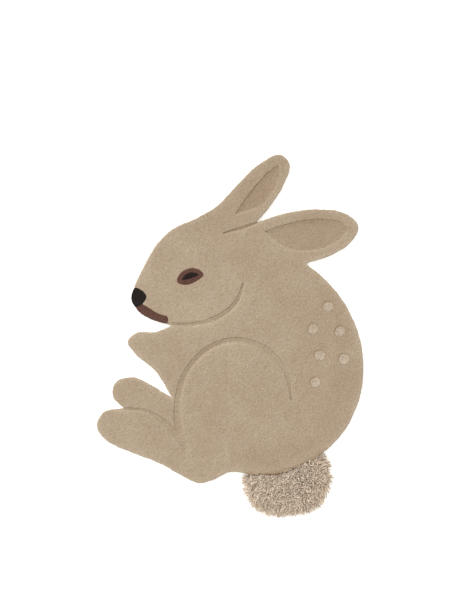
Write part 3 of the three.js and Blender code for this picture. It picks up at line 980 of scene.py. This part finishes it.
def strands(flat, share, gap, heading, rng, length, radius, sides):
    """Rings of points round bent, tapering strands. The middle line leaves its root, rises as a sine and
    leans over, more so near the rim, where it droops to the floor, and sways sideways as a slow wave. Also
    each point's own lightness, at random and painted darker beside the body, as shade, its way along, from 0
    to 1, and its angle round the ply."""

    def draw(low, high):
        """A random number for each strand."""
        return rng.uniform(low, high, len(flat))[:, None]

    t = np.linspace(0, 1, TAIL_SECTIONS + 1)[None]
    out = share[:, None]
    long = length * (1 + 0.25 * draw(-1, 1) * (1 - 0.4 * out**4))
    along = np.stack([np.cos(heading), np.sin(heading)], 1)[:, None]
    across = np.stack([-along[..., 1], along[..., 0]], 2)
    base = (swell(share) - valley(gap))[:, None]
    lean = draw(0.3, 0.75) * (1 - out**4) + 0.88 * out**4
    level = long * lean * (0.35 * t + 0.65 * t**1.5)
    rise = long * (0.62 - 0.42 * out**3) * draw(0.35, 1.15) * np.sin(0.58 * np.pi * t)
    droop = (base - 2.2 * radius) * (out**6) * t**1.6
    height = np.maximum(base - 2 * MM + rise - droop, 1.15 * radius)
    sway = draw(0.5, 3.2) * MM * np.sin(t * draw(3, 8) + draw(0, 6.3))
    sway = sway - sway[:, :1]
    plan = flat[:, None] + level[..., None] * along + sway[..., None] * across
    middle = np.concatenate([plan, height[..., None]], 2)
    ahead = np.gradient(middle, axis=1)
    ahead /= np.linalg.norm(ahead, axis=2)[..., None]
    side = np.cross(ahead, [0.0, 0.0, 1.0])
    side /= np.maximum(np.linalg.norm(side, axis=2)[..., None], 1e-9)
    over = np.cross(side, ahead)
    turn = np.arange(sides) / sides * 2 * np.pi
    thick = radius * draw(0.75, 1.2) * (1 - 0.3 * t**2) * (1 - 0.5 * t**8)
    ring = np.cos(turn)[:, None] * side[:, :, None] + np.sin(turn)[:, None] * over[:, :, None]
    points = middle[:, :, None] + thick[..., None, None] * ring
    points[..., 2] = np.maximum(points[..., 2], 0.1 * MM)
    # painted shade: yarns beside the body darker
    tone = draw(0, 1) - 0.45 * np.exp(-gap / (9 * MM))[:, None]
    tone = np.broadcast_to(tone[..., None], points.shape[:3])
    way = np.broadcast_to(t[..., None] ** 0.7, points.shape[:3])
    plies = 4
    return points, tone, way, turn + 2 * np.pi * plies * way


def tube_faces(count, rings, sides):
    """Triangles of tubes: two for each side between two rings, and a fan over each end."""
    a = np.arange((rings - 1) * sides).reshape(-1, sides)
    b = np.roll(a, -1, 1)
    walls = np.stack([a, b, b + sides, a, b + sides, a + sides], -1).reshape(-1, 3)
    k = np.arange(1, sides - 1)
    root = np.stack([0 * k, k + 1, k], 1)
    tip = np.stack([0 * k, k, k + 1], 1) + (rings - 1) * sides
    first = (np.arange(count) * rings * sides)[:, None, None]
    return np.concatenate([(first + part).reshape(-1, 3) for part in (walls, root, tip)])


class RUG_OT_tail(bpy.types.Operator):
    """Builds the shag tail: a lumpy pad, thick yarns rooted on it and thin wisps among them."""

    bl_idname = "rug.tail"
    bl_label = "Shag Tail"

    def execute(self, context):
        settings = context.scene.rug_tail
        plan = tail_plan(settings)
        body = [max(soft_loops("rug_body", SECTION_LEVEL), key=len)]
        material = shag_yarn("two-ply wool yarn", settings.colour)
        points, faces = tail_base(plan, body)
        grey = np.full(len(points), 0.5)
        # painted shade on the pad's top under the yarns
        along = np.repeat([0, 0.5], len(points) // 2)  # dark under the yarns, pale on its underside
        pieces = [add_mesh("tail_base", points, faces, material, tone=grey, along=along, ply=0 * grey)]
        # name, number, radius, length and sides of each kind of strand, and where its random draws start
        kinds = [
            ("tail_yarns", settings.yarns, settings.thickness / 2, settings.length, 5, 41),
            ("tail_wisps", settings.wisps, WISP_RADIUS, 0.95 * settings.length, 3, 42),
        ]
        for name, count, radius, length, sides, seed in kinds:
            rng = np.random.default_rng(seed)
            flat, share, gap = tail_roots(count, plan, rng, body)
            heading = tail_headings(flat, share, plan[0], length, body, rng)
            points, tone, way, ply = strands(flat, share, gap, heading, rng, length, radius, sides)
            faces = tube_faces(len(flat), TAIL_SECTIONS + 1, sides)
            pieces.append(add_mesh(
                name, points.reshape(-1, 3), faces, material, sharp=None,
                tone=tone.ravel(), along=way.ravel(), ply=ply.ravel()))
        for piece in pieces:
            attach(piece, BODY)
            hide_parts("tail_shag")
        return {"FINISHED"}


# ---- sheet, stage, panel


class RUG_OT_sheet(bpy.types.Operator):
    """Reads the rug's outline at the level of the canvas, and does nothing more with it."""

    bl_idname = "rug.sheet"
    bl_label = "State the Sheet"

    def execute(self, context):
        loops = loops_at("rug_body", CANVAS_LEVEL)
        return {"FINISHED"}


class RUG_OT_stage(bpy.types.Operator):
    """Sets a pale glowing floor, two soft lights from beyond the face, one within the other, pale warm
    surroundings and a camera overhead."""

    bl_idname = "rug.stage"
    bl_label = "Stage"

    def execute(self, context):
        settings = context.scene.rug_stage
        scene = context.scene
        bpy.ops.mesh.primitive_plane_add(size=80, location=(0, 0, -0.2 * MM))
        floor = context.object
        floor.name = "floor"
        floor.data.materials.append(light_table("white opal glass", linear("#FBFBFB"), settings.glow))

        world = bpy.data.worlds.new("pale room")
        scene.world = world
        world.use_nodes = True
        background = world.node_tree.nodes["Background"].inputs
        background["Color"].default_value = (*settings.sky_colour, 1)
        background["Strength"].default_value = settings.sky

        degrees_wide = {"key": 30, "softbox": 110}
        for name, width in degrees_wide.items():
            light = bpy.data.lights.new(name, "SUN")
            light.energy = getattr(settings, name)
            light.color = settings.light_colour
            light.angle = np.radians(width)
            lamp = bpy.data.objects.new(name, light)
            lamp.rotation_euler = (
                np.pi / 2 - settings.height_of_light, 0, settings.side_of_light + np.pi / 2)
            scene.collection.objects.link(lamp)

        camera = bpy.data.cameras.new("overhead")
        camera.sensor_fit = "HORIZONTAL"
        camera.lens = camera.sensor_width * settings.height / settings.view_width
        camera.clip_end = 50
        eye = bpy.data.objects.new("overhead", camera)
        eye.location = (0, settings.aim, settings.height)
        scene.collection.objects.link(eye)
        scene.camera = eye
        scene.view_settings.view_transform = "Standard"
        return {"FINISHED"}


class RUG_PT_panel(bpy.types.Panel):
    """Lists the rug's pieces and settings."""

    bl_label = "Rabbit Rug"
    bl_idname = "RUG_PT_panel"
    bl_space_type = "VIEW_3D"
    bl_region_type = "UI"
    bl_category = "Rug"

    def draw(self, context):
        for operator in OPERATORS:
            self.layout.operator(operator.bl_idname)
        for name in SETTINGS:
            box = self.layout.box()
            group = getattr(context.scene, name)
            for key in group.bl_rna.properties.keys():
                if key not in ("rna_type", "name"):
                    box.prop(group, key)


SETTINGS = {"rug_pile": PileSettings, "rug_tail": TailSettings, "rug_stage": StageSettings}
OPERATORS = (
    RUG_OT_stage, RUG_OT_canvas, RUG_OT_cut_pile, RUG_OT_inlays, RUG_OT_spots, RUG_OT_tail, RUG_OT_sheet)
CLASSES = (*SETTINGS.values(), *OPERATORS, RUG_PT_panel)


def register():
    """Makes the classes known to Blender and gives its scenes the settings."""
    for kind in CLASSES:
        bpy.utils.register_class(kind)
    for name, kind in SETTINGS.items():
        setattr(bpy.types.Scene, name, PointerProperty(type=kind))


def unregister():
    """Undoes register, in the other order."""
    for name in SETTINGS:
        delattr(bpy.types.Scene, name)
    for kind in reversed(CLASSES):
        bpy.utils.unregister_class(kind)


def main():
    register()
    bpy.ops.rug.stage()
    bpy.ops.rug.canvas()
    bpy.ops.rug.cut_pile()
    bpy.ops.rug.inlays()
    bpy.ops.rug.spots()
    bpy.ops.rug.tail()
    bpy.ops.rug.sheet()


if __name__ == "__main__":
    main()
